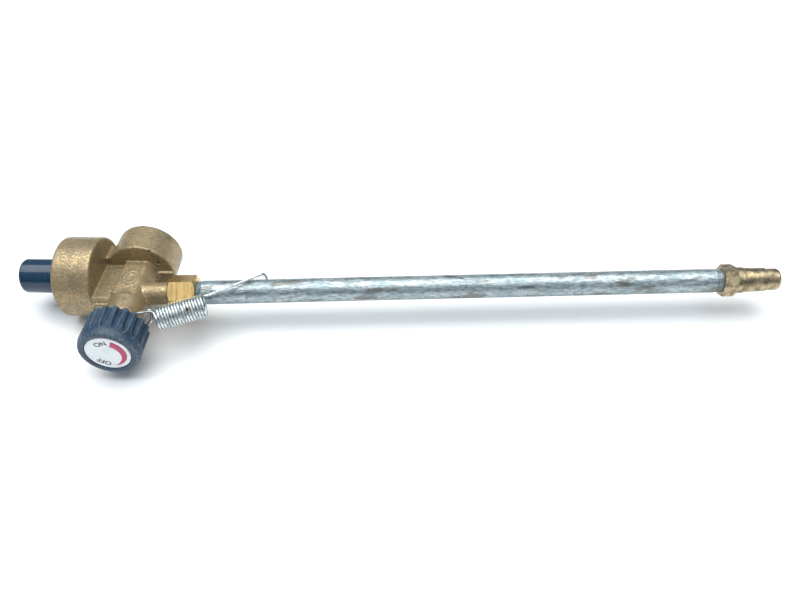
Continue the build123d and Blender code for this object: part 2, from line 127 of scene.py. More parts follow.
def add_node(
    tree: bpy.types.NodeTree,
    kind: str,
    settings: dict | None = None,
    values: dict | None = None,
    links: dict | None = None,
    stops: list[tuple[float, str]] | None = None,
) -> bpy.types.Node:
    """Add a shader node, set it and link it.

    Args:
        tree: The node tree that gets the node.
        kind: The node's type name.
        settings: Properties of the node itself.
        values: Default values by input socket.
        links: Output sockets to link, by input socket.
        stops: Positions and hex colours, for a colour ramp.

    Returns:
        The new node.
    """
    node = tree.nodes.new(kind)
    for name, value in (settings or {}).items():
        setattr(node, name, value)
    for socket, value in (values or {}).items():
        node.inputs[socket].default_value = value
    for socket, source in (links or {}).items():
        tree.links.new(source, node.inputs[socket])
    for index, (position, code) in enumerate(stops or []):
        elements = node.color_ramp.elements
        element = elements[index] if index < 2 else elements.new(position)
        element.position = position
        element.color = linear(code)
    return node


MIX_A, MIX_B, MIX_OUT = 6, 7, 2          # a Mix node's colour sockets


@dataclass(frozen=True)
class Finish:
    """A surface finish: what the real one is, and what that gives the eye."""

    name: str
    base: str
    metallic: float
    roughness: float

    def material(self) -> bpy.types.Material:
        """Make the finish's material, or return the one made before.

        Returns:
            The Blender material.
        """
        found = bpy.data.materials.get(self.name)
        if found is not None:
            return found
        material = bpy.data.materials.new(self.name)
        material.use_nodes = True
        tree = material.node_tree
        tree.nodes.clear()
        place = add_node(tree, "ShaderNodeTexCoord").outputs["Object"]
        surface = add_node(
            tree,
            "ShaderNodeBsdfPrincipled",
            values={
                "Base Color": linear(self.base),
                "Metallic": self.metallic,
                "Roughness": self.roughness,
            },
        )
        add_node(tree, "ShaderNodeOutputMaterial", links={"Surface": surface.outputs["BSDF"]})
        self.detail(tree, place, surface)
        return material

    def noise(
        self,
        tree: bpy.types.NodeTree,
        place: bpy.types.NodeSocket,
        size: float,
        low: float = 0.0,
        high: float = 1.0,
        detail: float = 3.0,
        window: tuple[float, float] = (0.35, 0.65),
    ) -> bpy.types.NodeSocket:
        """Cloudy pattern, spread over a range of values.

        Args:
            tree: The material's node tree.
            place: Coordinates to read.
            size: Size of the clouds in millimetres.
            low: Value where the pattern is weakest.
            high: Value where it is strongest.
            detail: Octaves of finer clouds.
            window: Part of the raw noise that is spread from low to high.

        Returns:
            The pattern's value socket.
        """
        cloud = add_node(
            tree,
            "ShaderNodeTexNoise",
            values={"Scale": per_mm(size), "Detail": detail},
            links={"Vector": place},
        )
        spread = add_node(
            tree,
            "ShaderNodeMapRange",
            values={"From Min": window[0], "From Max": window[1], "To Min": low, "To Max": high},
            links={"Value": cloud.outputs["Fac"]},
        )
        return spread.outputs["Result"]

    def roughen(
        self,
        tree: bpy.types.NodeTree,
        place: bpy.types.NodeSocket,
        surface: bpy.types.Node,
        size: float,
        below: float,
        above: float,
        detail: float = 3.0,
    ) -> None:
        """Let the roughness wander in clouds round the finish's own.

        Args:
            tree: The material's node tree.
            place: Coordinates to read.
            surface: The surface shader.
            size: Size of the clouds in millimetres.
            below: How far it goes below the finish's roughness.
            above: How far it goes above it.
            detail: Octaves of finer clouds.
        """
        rough = self.noise(
            tree, place, size, low=self.roughness - below, high=self.roughness + above, detail=detail
        )
        tree.links.new(rough, surface.inputs["Roughness"])

    def stretched(
        self, tree: bpy.types.NodeTree, place: bpy.types.NodeSocket, scale: tuple[float, float, float]
    ) -> bpy.types.NodeSocket:
        """Coordinates scaled along each axis of the burner tube, for brush marks and streaks.

        Args:
            tree: The material's node tree.
            place: Coordinates to read.
            scale: Factor along the tube, across it and upwards.

        Returns:
            The scaled coordinates' socket.
        """
        mapping = add_node(
            tree,
            "ShaderNodeMapping",
            settings={"vector_type": "POINT"},
            values={"Rotation": (0.0, 0.0, -TUBE_TILT)},
            links={"Vector": place},
        )
        scaled = add_node(
            tree,
            "ShaderNodeVectorMath",
            settings={"operation": "MULTIPLY"},
            values={1: scale},
            links={0: mapping.outputs["Vector"]},
        )
        return scaled.outputs["Vector"]

    def relief(
        self,
        tree: bpy.types.NodeTree,
        surface: bpy.types.Node,
        height: bpy.types.NodeSocket,
        depth: float,
        strength: float = 1.0,
        under: bpy.types.Node | None = None,
    ) -> bpy.types.Node:
        """Bump the surface by a height pattern.

        Args:
            tree: The material's node tree.
            surface: The surface shader.
            height: The pattern's socket.
            depth: Height of the relief in millimetres.
            strength: How much of it is applied.
            under: A bump node that this one adds to.

        Returns:
            The new bump node.
        """
        links = {"Height": height}
        if under is not None:
            links["Normal"] = under.outputs["Normal"]
        bump = add_node(
            tree, "ShaderNodeBump", values={"Distance": depth * MM, "Strength": strength}, links=links
        )
        tree.links.new(bump.outputs["Normal"], surface.inputs["Normal"])
        return bump

    def blend_colours(
        self,
        tree: bpy.types.NodeTree,
        share: bpy.types.NodeSocket,
        first: str | bpy.types.NodeSocket,
        second: str | bpy.types.NodeSocket,
    ) -> bpy.types.NodeSocket:
        """Mix two colours by a pattern.

        Args:
            tree: The material's node tree.
            share: How much of the second colour shows.
            first: Hex colour or colour socket where share is 0.
            second: Hex colour or colour socket where share is 1.

        Returns:
            The mixed colour's socket.
        """
        values, links = {}, {0: share}
        for socket, colour in ((MIX_A, first), (MIX_B, second)):
            if isinstance(colour, str):
                values[socket] = linear(colour)
            else:
                links[socket] = colour
        mix = add_node(tree, "ShaderNodeMix", settings={"data_type": "RGBA"}, values=values, links=links)
        return mix.outputs[MIX_OUT]

    def detail(
        self, tree: bpy.types.NodeTree, place: bpy.types.NodeSocket, surface: bpy.types.Node
    ) -> None:
        """Add the finish's own pattern; a plain finish gets faint handling marks.

        Args:
            tree: The material's node tree.
            place: Object coordinates.
            surface: The surface shader.
        """
        marks = self.noise(tree, place, 2.0, low=self.roughness * 0.85, high=self.roughness * 1.2)
        tree.links.new(marks, surface.inputs["Roughness"])
        grain = self.noise(tree, place, 0.3)
        self.relief(tree, surface, grain, depth=0.01, strength=0.4)


# ---- finishes -----------------------------------------------------------------------------------
@dataclass(frozen=True)
class SandCastBrass(Finish):
    """Brass as it leaves a sand mould: a grainy skin, dull with tarnish, with a few gas pits."""

    name: str = "sand_cast_brass"
    base: str = "#8F7F64"
    metallic: float = 0.35
    roughness: float = 0.38
    bright: str = "#DAB87E"
    tarnish: str = "#7A725E"
    pit: str = "#4A4436"
    grain_mm: float = 0.6        # the sand's grain, drawn a little coarse so that it shows
    pit_spacing_mm: float = 9.0

    def detail(
        self, tree: bpy.types.NodeTree, place: bpy.types.NodeSocket, surface: bpy.types.Node
    ) -> None:
        """Tarnish clouds, sand grain and pits.

        Args:
            tree: The material's node tree.
            place: Object coordinates.
            surface: The surface shader.
        """
        clouds = self.noise(tree, place, 7.0, window=(0.38, 0.6))
        speckle = self.noise(
            tree, place, self.grain_mm, low=0.0, high=0.75, detail=2.0, window=(0.45, 0.75)
        )
        skin = self.blend_colours(tree, clouds, self.tarnish, self.base)
        grainy = self.blend_colours(tree, speckle, skin, self.bright)
        cells = add_node(
            tree,
            "ShaderNodeTexVoronoi",
            values={"Scale": per_mm(self.pit_spacing_mm)},
            links={"Vector": place},
        )
        pits = add_node(
            tree,
            "ShaderNodeMapRange",
            values={"From Min": 0.035, "From Max": 0.075, "To Min": 1.0, "To Max": 0.0},
            links={"Value": cells.outputs["Distance"]},
        )
        pitted = self.blend_colours(tree, pits.outputs["Result"], grainy, self.pit)
        tree.links.new(pitted, surface.inputs["Base Color"])
        shine = self.noise(
            tree, place, self.grain_mm, low=self.metallic, high=0.9, detail=2.0, window=(0.45, 0.75)
        )
        tree.links.new(shine, surface.inputs["Metallic"])
        self.roughen(tree, place, surface, size=1.6, below=0.08, above=0.12)
        swells = self.relief(tree, surface, self.noise(tree, place, 3.5), depth=0.05)
        grains = self.relief(tree, surface, speckle, depth=0.02, strength=0.7, under=swells)
        self.relief(tree, surface, pits.outputs["Result"], depth=-0.3, strength=0.8, under=grains)


@dataclass(frozen=True)
class TurnedBrass(Finish):
    """Free-cutting brass off the lathe: bright, with fine tool lines round the work."""

    name: str = "turned_brass"
    base: str = "#DDBC7E"
    metallic: float = 1.0
    roughness: float = 0.3
    dull: str = "#BFA069"
    line_mm: float = 0.35

    def detail(
        self, tree: bpy.types.NodeTree, place: bpy.types.NodeSocket, surface: bpy.types.Node
    ) -> None:
        """Tool lines across the tube's axis, and finger tarnish.

        Args:
            tree: The material's node tree.
            place: Object coordinates.
            surface: The surface shader.
        """
        lines = self.stretched(tree, place, (1.0, 0.06, 0.06))
        tooling = self.noise(tree, lines, self.line_mm, detail=2.0, window=(0.3, 0.7))
        tarnish = self.noise(tree, place, 3.0, window=(0.45, 0.75))
        toned = self.blend_colours(tree, tarnish, self.base, self.dull)
        lined = self.blend_colours(tree, tooling, toned, self.base)
        tree.links.new(lined, surface.inputs["Base Color"])
        self.roughen(tree, lines, surface, size=0.6, below=0.07, above=0.12)
        self.relief(tree, surface, tooling, depth=0.008, strength=0.6)


@dataclass(frozen=True)
class HeatedBrass(Finish):
    """Brass that has been hot: greyed by oxide, worn back to gold where it rubs."""

    name: str = "heat_dulled_brass"
    base: str = "#B8A98A"
    metallic: float = 1.0
    roughness: float = 0.38
    gold: str = "#E3B974"
    soot: str = "#7F7765"

    def detail(
        self, tree: bpy.types.NodeTree, place: bpy.types.NodeSocket, surface: bpy.types.Node
    ) -> None:
        """Oxide clouds, rubbed gold and small dents.

        Args:
            tree: The material's node tree.
            place: Object coordinates.
            surface: The surface shader.
        """
        lines = self.stretched(tree, place, (1.0, 0.35, 0.35))
        rubbed = self.noise(tree, lines, 0.8, low=0.0, high=0.6, window=(0.52, 0.75))
        grime = self.noise(tree, place, 2.6, window=(0.42, 0.62))
        oxide = self.blend_colours(tree, grime, self.base, self.soot)
        worn = self.blend_colours(tree, rubbed, oxide, self.gold)
        tree.links.new(worn, surface.inputs["Base Color"])
        self.roughen(tree, place, surface, size=1.0, below=0.08, above=0.12)
        dents = self.relief(tree, surface, self.noise(tree, place, 2.2), depth=0.05)
        self.relief(tree, surface, self.noise(tree, lines, 0.5), depth=0.02, strength=0.6, under=dents)


@dataclass(frozen=True)
class GalvanisedSteel(Finish):
    """Hot-dipped zinc on steel pipe: blotchy spangle, long runs, grey storage stain and specks."""

    name: str = "hot_dipped_zinc"
    base: str = "#8C989B"
    metallic: float = 0.7
    roughness: float = 0.34
    bright: str = "#BDC7C8"
    bluish: str = "#7E9298"
    stain: str = "#75736D"
    speck: str = "#4C4740"
    spangle_mm: float = 4.0

    def detail(
        self, tree: bpy.types.NodeTree, place: bpy.types.NodeSocket, surface: bpy.types.Node
    ) -> None:
        """Spangle, runs along the pipe, stains and specks.

        Args:
            tree: The material's node tree.
            place: Object coordinates.
            surface: The surface shader.
        """
        along = self.stretched(tree, place, (0.35, 1.0, 1.0))
        ragged = self.noise(tree, along, 0.8, detail=4.0, window=(0.4, 0.6))
        runs = self.blend_colours(tree, ragged, self.base, self.bright)
        flakes = add_node(
            tree,
            "ShaderNodeTexVoronoi",
            values={"Scale": per_mm(self.spangle_mm)},
            links={"Vector": along},
        )
        tone = add_node(
            tree,
            "ShaderNodeMapRange",
            values={"To Min": 0.0, "To Max": 0.6},
            links={"Value": flakes.outputs["Color"]},
        )
        spangled = self.blend_colours(tree, tone.outputs["Result"], runs, self.bluish)
        patches = self.noise(tree, along, 4.5, low=0.0, high=0.8, detail=5.0, window=(0.56, 0.62))
        stained = self.blend_colours(tree, patches, spangled, self.stain)
        cells = add_node(
            tree, "ShaderNodeTexVoronoi", values={"Scale": per_mm(5.0)}, links={"Vector": place}
        )
        dots = add_node(
            tree,
            "ShaderNodeMapRange",
            values={"From Min": 0.05, "From Max": 0.12, "To Min": 0.85, "To Max": 0.0},
            links={"Value": cells.outputs["Distance"]},
        )
        specked = self.blend_colours(tree, dots.outputs["Result"], stained, self.speck)
        tree.links.new(specked, surface.inputs["Base Color"])
        self.roughen(tree, along, surface, size=1.8, below=0.12, above=0.2, detail=4.0)
        waves = self.relief(tree, surface, self.noise(tree, along, 1.6, detail=4.0), depth=0.05)
        self.relief(tree, surface, ragged, depth=0.02, strength=0.7, under=waves)


@dataclass(frozen=True)
class ZincWire(Finish):
    """Zinc-coated spring wire: bright, streaked along the turns, with one spot of rust."""

    name: str = "zinc_coated_wire"
    base: str = "#D6DCDC"
    metallic: float = 1.0
    roughness: float = 0.36
    grey: str = "#9AA3A6"
    rust: str = "#7A5334"
    rust_at: tuple[float, float, float] = (28.75, -43.7, 6.95)      # millimetres
    rust_size: float = 1.3
    rust_core: float = 0.3           # share of the spot that is fully rusty

    def detail(
        self, tree: bpy.types.NodeTree, place: bpy.types.NodeSocket, surface: bpy.types.Node
    ) -> None:
        """Streaks of dull zinc and the rust spot.

        Args:
            tree: The material's node tree.
            place: Object coordinates.
            surface: The surface shader.
        """
        streaks = self.noise(tree, place, 1.4, window=(0.45, 0.68))
        zinc = self.blend_colours(tree, streaks, self.base, self.grey)
        spot = tuple(value * MM for value in self.rust_at)
        away = add_node(
            tree,
            "ShaderNodeVectorMath",
            settings={"operation": "DISTANCE"},
            values={1: spot},
            links={0: place},
        )
        near = add_node(
            tree,
            "ShaderNodeMapRange",
            values={
                "From Min": self.rust_core * self.rust_size * MM,
                "From Max": self.rust_size * MM,
                "To Min": 1.0,
                "To Max": 0.0,
            },
            links={"Value": away.outputs["Value"]},
        )
        rusty = self.blend_colours(tree, near.outputs["Result"], zinc, self.rust)
        tree.links.new(rusty, surface.inputs["Base Color"])
        self.roughen(tree, place, surface, size=0.9, below=0.06, above=0.14)
        self.relief(tree, surface, self.noise(tree, place, 0.5), depth=0.015, strength=0.5)


@dataclass(frozen=True)
class GlossyNylon(Finish):
    """Glass-filled nylon from a polished mould: near black, glossy, finely scuffed."""

    name: str = "moulded_nylon"
    base: str = "#0E3047"
    metallic: float = 0.0
    roughness: float = 0.15
    scuff: str = "#24445A"

    def detail(
        self, tree: bpy.types.NodeTree, place: bpy.types.NodeSocket, surface: bpy.types.Node
    ) -> None:
        """Scuffs that dull the gloss, and a faint moulding texture.

        Args:
            tree: The material's node tree.
            place: Object coordinates.
            surface: The surface shader.
        """
        scuffs = self.noise(tree, place, 1.8, low=0.0, high=0.7, detail=5.0, window=(0.55, 0.72))
        tree.links.new(
            self.blend_colours(tree, scuffs, self.base, self.scuff), surface.inputs["Base Color"]
        )
        self.roughen(tree, place, surface, size=1.2, below=0.05, above=0.08, detail=4.0)
        self.relief(tree, surface, self.noise(tree, place, 3.0, detail=1.0), depth=0.01, strength=0.4)


@dataclass(frozen=True)
class KnobPlastic(Finish):
    """Moulded polypropylene: matt navy blue, painted pale along its rims and flute edges, partly as rubbed
    wear and partly as painted highlight.
    """

    name: str = "moulded_polypropylene"
    base: str = "#233F56"
    metallic: float = 0.0
    roughness: float = 0.45
    dark: str = "#182F42"
    # pale edge colour: partly rubbed wear, partly painted highlight on rims and flute edges
    worn: str = "#8796A1"
    wear_and_highlight_layer: str = "wear_and_highlight"

    def detail(
        self, tree: bpy.types.NodeTree, place: bpy.types.NodeSocket, surface: bpy.types.Node
    ) -> None:
        """Tone clouds, pale edges (rubbed wear and painted highlight) and moulding grain.

        Args:
            tree: The material's node tree.
            place: Object coordinates.
            surface: The surface shader.
        """
        tone = self.blend_colours(tree, self.noise(tree, place, 3.0), self.base, self.dark)
        # edges painted pale: partly rubbed wear, partly painted highlight
        edges = add_node(tree, "ShaderNodeAttribute", settings={"attribute_name": self.wear_and_highlight_layer})
        patchy = self.noise(tree, place, 0.8, low=0.1, high=1.0, detail=4.0, window=(0.4, 0.65))
        rubbed = add_node(
            tree,
            "ShaderNodeMath",
            settings={"operation": "MULTIPLY"},
            links={0: edges.outputs["Fac"], 1: patchy},
        )
        coloured = self.blend_colours(tree, rubbed.outputs["Value"], tone, self.worn)
        tree.links.new(coloured, surface.inputs["Base Color"])
        self.roughen(tree, place, surface, size=1.0, below=0.08, above=0.12)
        self.relief(tree, surface, self.noise(tree, place, 0.45, detail=2.0), depth=0.025, strength=0.6)


@dataclass(frozen=True)
class PrintedSheet(Finish):
    """Coated label stock or its ink: smooth, with faint dirt."""

    dirt: str = "#B9BDB9"
    dirt_share: float = 0.35

    def detail(
        self, tree: bpy.types.NodeTree, place: bpy.types.NodeSocket, surface: bpy.types.Node
    ) -> None:
        """Faint dirt and the coating's orange peel.

        Args:
            tree: The material's node tree.
            place: Object coordinates.
            surface: The surface shader.
        """
        soil = self.noise(
            tree, place, 4.0, low=0.0, high=self.dirt_share, detail=5.0, window=(0.5, 0.75)
        )
        tree.links.new(
            self.blend_colours(tree, soil, self.base, self.dirt), surface.inputs["Base Color"]
        )
        self.roughen(tree, place, surface, size=1.5, below=0.06, above=0.1)
        self.relief(tree, surface, self.noise(tree, place, 0.7), depth=0.006, strength=0.5)


@dataclass(frozen=True)
class StudioFloor(Finish):
    """Plain pale paper."""

    name: str = "studio_paper"
    base: str = "#F6F7F7"
    metallic: float = 0.0
    roughness: float = 0.9
    fibre: str = "#F1F2F2"

    def detail(
        self, tree: bpy.types.NodeTree, place: bpy.types.NodeSocket, surface: bpy.types.Node
    ) -> None:
        """Hardly visible paper fibre.

        Args:
            tree: The material's node tree.
            place: Object coordinates.
            surface: The surface shader.
        """
        fibres = self.noise(tree, place, 1.0, low=0.0, high=0.25)
        tree.links.new(
            self.blend_colours(tree, fibres, self.base, self.fibre), surface.inputs["Base Color"]
        )


FINISHES: dict[Slot, Finish] = {
    Slot.CAST_BRASS: SandCastBrass(),
    Slot.BRASS_MACHINED: TurnedBrass(),
    Slot.NOZZLE_BRASS: HeatedBrass(),
    Slot.SINTERED_BRONZE: Finish("sintered_bronze_filter", "#9A7248", 1.0, 0.6),
    Slot.SPRING_STEEL: Finish("drawn_spring_steel", "#9AA0A3", 1.0, 0.3),
    Slot.PLATED_STEEL: Finish("zinc_plated_steel", "#C4C9C9", 1.0, 0.28),
    Slot.GALVANISED_STEEL: GalvanisedSteel(),
    Slot.SPRING_WIRE: ZincWire(),
    Slot.RUBBER: Finish("nitrile_rubber", "#1B1C1E", 0.0, 0.65),
    Slot.BONNET_PLASTIC: GlossyNylon(),
    Slot.KNOB_PLASTIC: KnobPlastic(),
    Slot.LABEL_SHEET: PrintedSheet("coated_label_stock", "#EDF1F3", 0.0, 0.38),
}
CRIMSON_INK = PrintedSheet("crimson_ink", "#BE3A66", 0.0, 0.4, "#A94A6A", 0.5)
BLACK_INK = PrintedSheet("black_ink", "#23262E", 0.0, 0.4, "#4A4E56", 0.4)


# ---- mesh helpers -------------------------------------------------------------------------------
def piece(name: str, mesh: bpy.types.Mesh, finish: Finish) -> bpy.types.Object:
    """Put a finished mesh in the scene, smooth and dressed.

    Args:
        name: The piece's name.
        mesh: Its mesh, already in place.
        finish: What it is made of.

    Returns:
        The piece's object.
    """
    mesh.materials.clear()
    mesh.materials.append(finish.material())
    mesh.polygons.foreach_set("use_smooth", [True] * len(mesh.polygons))
    item = placed(name, mesh)
    LOG.info("%s: %d faces", name, len(mesh.polygons))
    return item


def placed(name: str, data: bpy.types.ID) -> bpy.types.Object:
    """Make an object and link it to the scene.

    Args:
        name: The object's name.
        data: Its mesh, curve, lamp or camera.

    Returns:
        The new object.
    """
    item = bpy.data.objects.new(name, data)
    bpy.context.scene.collection.objects.link(item)
    return item


def meshed(work: bmesh.types.BMesh, name: str) -> bpy.types.Mesh:
    """Turn a working mesh into a new mesh, and free it.

    Args:
        work: The working mesh.
        name: The new mesh's name.

    Returns:
        The new mesh.
    """
    mesh = bpy.data.meshes.new(name)
    work.to_mesh(mesh)
    work.free()
    return mesh


def baked(item: bpy.types.Object) -> bpy.types.Mesh:
    """Mesh of an object with its modifiers or curve bevel applied; the object itself goes.

    Args:
        item: The object to read.

    Returns:
        A new mesh.
    """
    graph = bpy.context.evaluated_depsgraph_get()
    graph.update()
    mesh = bpy.data.meshes.new_from_object(item.evaluated_get(graph))
    bpy.data.objects.remove(item)
    return mesh


# ---- valve head ---------------------------------------------------------------------------------
@dataclass
class ValveCasting:
    """The brass casting, with the soft edges and filled corners that a sand mould gives."""

    weld: float = 0.001 * MM
    voxel: float = 0.38 * MM
    rounds: int = 3           # of smoothing
    share: float = 0.5        # of each vertex's way to its neighbours' middle, a round

    def build(self) -> bpy.types.Object:
        """Remesh a copy of the machined solid and smooth it.

        Returns:
            The casting, riding on the torch in place of its plain node.
        """
        work = bmesh.new()
        work.from_mesh(frame["nodes"]["valve_body"].data)
        bmesh.ops.remove_doubles(work, verts=work.verts, dist=self.weld)
        mesh = meshed(work, "casting_copy")
        copy = placed("casting_copy", mesh)
        remesh = copy.modifiers.new("remesh", "REMESH")
        remesh.mode = "VOXEL"
        remesh.voxel_size = self.voxel
        rounded = baked(copy)
        work = bmesh.new()
        work.from_mesh(rounded)
        for _ in range(self.rounds):
            bmesh.ops.smooth_vert(
                work, verts=work.verts, factor=self.share, use_axis_x=True, use_axis_y=True, use_axis_z=True
            )
        work.to_mesh(rounded)
        work.free()
        casting = piece("valve_casting", rounded, FINISHES[Slot.CAST_BRASS])
        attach(casting, Body.TORCH.value)
        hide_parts("valve_body")
        return casting


@dataclass
class SocketThread:
    """The one inch, 20 turns to the inch, thread cut in the cylinder socket."""

    pitch: float = 1.27 * MM
    root: float = 12.74 * MM
    crest: float = 12.1 * MM
    first: float = -7.55 * MM
    turns: int = 5
    steps: int = 64          # a turn
    profile: tuple[float, float, float] = (0.4, 0.5, 0.9)      # crest's start and end, foot's end; pitches

    def build(self) -> bpy.types.Object:
        """Spin the ridge's section along its helix.

        Returns:
            The thread, riding on the torch.
        """
        work = bmesh.new()
        crest_start, crest_end, foot_end = (self.first + share * self.pitch for share in self.profile)
        section = [
            work.verts.new((self.root, self.first, 0.0)),
            work.verts.new((self.crest, crest_start, 0.0)),
            work.verts.new((self.crest, crest_end, 0.0)),
            work.verts.new((self.root, foot_end, 0.0)),
        ]
        face = work.faces.new(section)
        bmesh.ops.spin(
            work,
            geom=[*work.verts, *work.edges, face],
            cent=(0.0, 0.0, 0.0),
            axis=(0.0, 1.0, 0.0),
            dvec=(0.0, self.pitch / self.steps, 0.0),
            angle=tau * self.turns,
            steps=self.steps * self.turns,
            use_duplicate=False,
        )
        bmesh.ops.recalc_face_normals(work, faces=work.faces)
        mesh = meshed(work, "socket_thread")
        thread = piece("socket_thread", mesh, FINISHES[Slot.BRASS_MACHINED])
        mesh.polygons.foreach_set("use_smooth", [False] * len(mesh.polygons))
        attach(thread, Body.TORCH.value)
        return thread


# ---- knob ---------------------------------------------------------------------------------------
@dataclass
class GripKnob:
    """The knob's moulding: a back hollow, tapering grip flutes, a smooth rim and the label's recess."""

    back: float = 29.0 * MM
    face: float = 44.4 * MM
    radius: float = 12.35 * MM
    label_radius: float = 8.93 * MM
    flutes: int = 18
    points: int = 16              # round the rim, for each flute
    depth: float = 1.4 * MM       # of a flute at the knob's back
    half_width: float = radians(7.6)
    curl: float = 1.35            # 1 gives a V-shaped flute, 2 a round one
    fade_from: float = 38.4 * MM
    fade_to: float = 41.4 * MM
    taper: float = 0.3            # share of the flutes' depth lost on the way to the rim
    grip_rings: int = 16          # along the grip
    bore: float = 2.2 * MM
    hollow_depth: float = 2.25 * MM
    hollow_radius: float = 9.2 * MM
    seat_depth: float = 0.85 * MM
    screw_radius: float = 3.2 * MM
    edge: float = 0.2 * MM        # how far the pale edge (wear and painted highlight) reaches from an edge

    def flute_depth(self, along: float) -> float:
        """Depth of the flutes' middle at a distance along the knob's axis."""
        shallow = self.depth * (1 - self.taper * (along - self.back) / (self.fade_to - self.back))
        fade = (self.fade_to - along) / (self.fade_to - self.fade_from)
        return shallow * min(1.0, max(0.0, fade))

    def outline(self) -> list[tuple[float, float, bool, float]]:
        """Section of the moulding, from the stem's bore round the outside to the label's seat.

        Returns:
            Stations as distance along the axis, radius, whether the flutes cut them, and rim wear with
            painted highlight.
        """
        # each station's last number paints the rim pale: partly wear, partly painted highlight
        rim = [
            (self.back + self.hollow_depth, self.bore, False, 0.0),
            (self.back + self.hollow_depth, self.hollow_radius - 0.1 * MM, False, 0.0),
            (self.back + self.hollow_depth - 0.15 * MM, self.hollow_radius, False, 0.0),
            (self.back + 0.15 * MM, self.hollow_radius, False, 0.2),
            (self.back, self.hollow_radius + 0.15 * MM, False, 0.3),
            (self.back, self.radius - 0.45 * MM, True, 0.6),
            (self.back + 0.15 * MM, self.radius - 0.15 * MM, True, 0.8),
            (self.back + 0.45 * MM, self.radius, True, 0.3),
        ]
        grip_start = self.back + 1.2 * MM
        for index in range(self.grip_rings + 1):
            along = grip_start + (self.fade_to + 0.2 * MM - grip_start) * index / self.grip_rings
            rim.append((along, self.radius, True, 0.0))
        rim += [
            (self.face - 2.3 * MM, self.radius - 0.14 * MM, False, 0.1),
            (self.face - 1.5 * MM, self.radius - 0.3 * MM, False, 0.1),
            (self.face - 0.9 * MM, self.radius - 0.5 * MM, False, 0.25),
            (self.face - 0.45 * MM, self.radius - 0.75 * MM, False, 0.5),
            (self.face - 0.12 * MM, self.radius - 1.1 * MM, False, 0.5),
            (self.face, self.radius - 1.5 * MM, False, 0.2),
            (self.face, self.label_radius + 0.75 * MM, False, 0.2),
            (self.face - 0.1 * MM, self.label_radius + 0.55 * MM, False, 0.5),
            (self.face - 0.75 * MM, self.label_radius + 0.35 * MM, False, 0.0),
            (self.face - self.seat_depth, self.label_radius + 0.2 * MM, False, 0.0),
            (self.face - self.seat_depth, self.screw_radius, False, 0.0),
        ]
        return rim

    def place_ring(
        self,
        verts: list[bmesh.types.BMVert],
        station: tuple[float, float, bool, float],
        layer: bmesh.types.BMLayerItem,
    ) -> None:
        """Move one ring of the loft to its station, and note its wear and painted highlight.

        Args:
            verts: The ring's vertices, in order round the axis.
            station: The ring's entry in the outline.
            layer: The vertex layer that holds wear and painted highlight.
        """
        along, radius, fluted, wear_and_highlight = station
        pitch = tau / self.flutes
        slope = self.depth / self.half_width ** self.curl
        for index, vert in enumerate(verts):
            angle = tau * index / len(verts)
            off = abs((angle + pitch / 2) % pitch - pitch / 2)
            cut = self.flute_depth(along) - slope * off ** self.curl
            reach = radius - max(0.0, cut) if fluted else radius
            vert.co = (reach * sin(angle), CROSS_Y - along, reach * cos(angle))
            # flute edges painted pale: partly rubbed wear, partly painted highlight
            on_edge = fluted and self.flute_depth(along) > 0
            rubbed = max(0.0, 1.0 - abs(cut) / self.edge) if on_edge else 0.0
            vert[layer] = max(wear_and_highlight, rubbed)

    def build(self) -> bpy.types.Object:
        """Loft the moulding ring by ring.

        Returns:
            The knob, in place of its plain node.
        """
        work = bmesh.new()
        layer = work.verts.layers.float.new(KnobPlastic().wear_and_highlight_layer)
        total = self.flutes * self.points
        verts = bmesh.ops.create_circle(work, cap_ends=True, segments=total, radius=self.radius)["verts"]
        stations = self.outline()
        self.place_ring(verts, stations[0], layer)
        edges = [edge for edge in work.edges if edge.is_boundary or len(edge.link_faces) == 1]
        for station in stations[1:]:
            grown = bmesh.ops.extrude_edge_only(work, edges=edges)["geom"]
            edges = [item for item in grown if isinstance(item, bmesh.types.BMEdge) and item.is_boundary]
            ring = [item for item in grown if isinstance(item, bmesh.types.BMVert)]
            ring.sort(key=lambda vert: atan2(vert.co.x, vert.co.z) % tau)
            self.place_ring(ring, station, layer)
        bmesh.ops.contextual_create(work, geom=edges)
        bmesh.ops.recalc_face_normals(work, faces=work.faces)
        mesh = meshed(work, "grip_knob")
        knob = piece("grip_knob", mesh, FINISHES[Slot.KNOB_PLASTIC])
        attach(knob, Body.KNOB.value)
        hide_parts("knob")
        return knob


